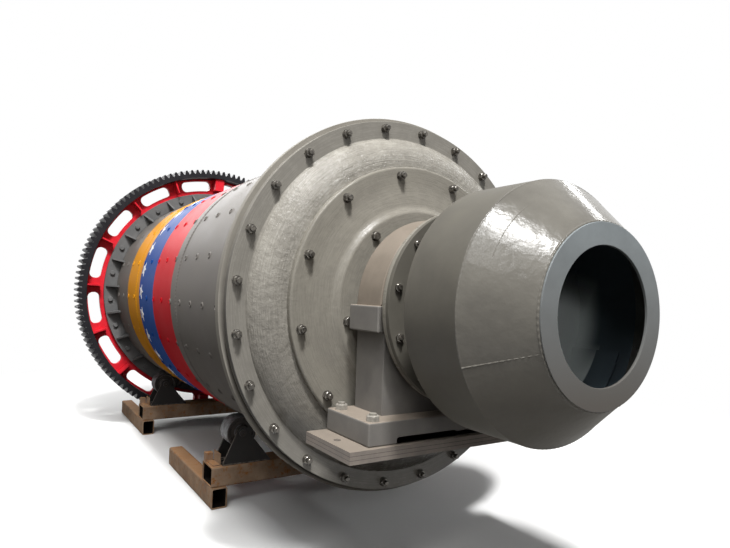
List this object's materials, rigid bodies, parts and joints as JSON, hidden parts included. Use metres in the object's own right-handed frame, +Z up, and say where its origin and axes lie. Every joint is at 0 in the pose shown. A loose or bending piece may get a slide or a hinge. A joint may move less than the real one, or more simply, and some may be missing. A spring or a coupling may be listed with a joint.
{
  "type": "ball mill",
  "caption": "Horizontal ball mill drum with flanged heads, girth gear, cone-mouthed feed drum and trunnion bearings, resting on two turning-roll stands.",
  "frame": {"origin": "middle of the object's box at floor level", "axes": "+X along the mill axis to the feed end, +Y to the right seen from the gear end, +Z up"},
  "size_m": [5.499, 2.592, 2.658],
  "materials": {
    "grey_enamel": "semi-gloss",
    "dark_grey_primer": "matt",
    "red_gear_paint": "gloss",
    "rusted_steel": "rusted",
    "dark_bracket_steel": "matt",
    "dark_roller_steel": "worn"
  },
  "bodies": {
    "frame": {"feed_bearing_pedestal": "grey_enamel", "feed_bearing_cap": "grey_enamel", "feed_sole_plate_upper": "grey_enamel", "feed_sole_plate_middle": "grey_enamel", "feed_sole_plate_lower": "grey_enamel", "discharge_bearing_pedestal": "grey_enamel", "discharge_bearing_cap": "grey_enamel", "discharge_sole_plate_upper": "grey_enamel", "discharge_sole_plate_middle": "grey_enamel", "discharge_sole_plate_lower": "grey_enamel", "front_cross_beam": "rusted_steel", "front_left_skid": "rusted_steel", "front_left_roller_bracket": "dark_bracket_steel", "front_right_skid": "rusted_steel", "front_right_roller_bracket": "dark_bracket_steel", "rear_cross_beam": "rusted_steel", "rear_left_skid": "rusted_steel", "rear_left_roller_bracket": "dark_bracket_steel", "rear_right_skid": "rusted_steel", "rear_right_roller_bracket": "dark_bracket_steel"},
    "drum": {"shell": "grey_enamel", "feed_shell_flange": "grey_enamel", "gear_mount_flange": "dark_grey_primer", "gear_flange_gussets": "dark_grey_primer", "feed_head": "grey_enamel", "discharge_head": "grey_enamel", "feed_trunnion": "grey_enamel", "discharge_trunnion": "grey_enamel", "gear_half_left": "red_gear_paint", "gear_half_right": "red_gear_paint", "feeder_neck": "grey_enamel", "feeder_back_plate": "grey_enamel", "feeder_drum": "grey_enamel", "feeder_cone": "grey_enamel", "feeder_mouth_ring": "grey_enamel", "feeder_scoop": "grey_enamel"},
    "front_left_roller": {"front_left_roller": "dark_roller_steel"},
    "front_right_roller": {"front_right_roller": "dark_roller_steel"},
    "rear_left_roller": {"rear_left_roller": "dark_roller_steel"},
    "rear_right_roller": {"rear_right_roller": "dark_roller_steel"}
  },
  "joints": [
    {"name": "drum_spin", "type": "hinge", "parent": "frame", "child": "drum", "pos_m": [0, 0, 1.362], "axis": [1, 0, 0], "continuous": true},
    {"name": "front_left_roller_spin", "type": "hinge", "parent": "frame", "child": "front_left_roller", "pos_m": [0.3415, -0.51765, 0.4654], "axis": [1, 0, 0], "continuous": true},
    {"name": "front_right_roller_spin", "type": "hinge", "parent": "frame", "child": "front_right_roller", "pos_m": [0.3415, 0.51765, 0.4654], "axis": [1, 0, 0], "continuous": true},
    {"name": "rear_left_roller_spin", "type": "hinge", "parent": "frame", "child": "rear_left_roller", "pos_m": [-1.7485, -0.51765, 0.4654], "axis": [1, 0, 0], "continuous": true},
    {"name": "rear_right_roller_spin", "type": "hinge", "parent": "frame", "child": "rear_right_roller", "pos_m": [-1.7485, 0.51765, 0.4654], "axis": [1, 0, 0], "continuous": true}
  ],
  "couplings": [
    {"joint": "front_left_roller_spin", "follows": "drum_spin", "ratio": -9.35},
    {"joint": "front_right_roller_spin", "follows": "drum_spin", "ratio": -9.35},
    {"joint": "rear_left_roller_spin", "follows": "drum_spin", "ratio": -9.35},
    {"joint": "rear_right_roller_spin", "follows": "drum_spin", "ratio": -9.35}
  ]
}
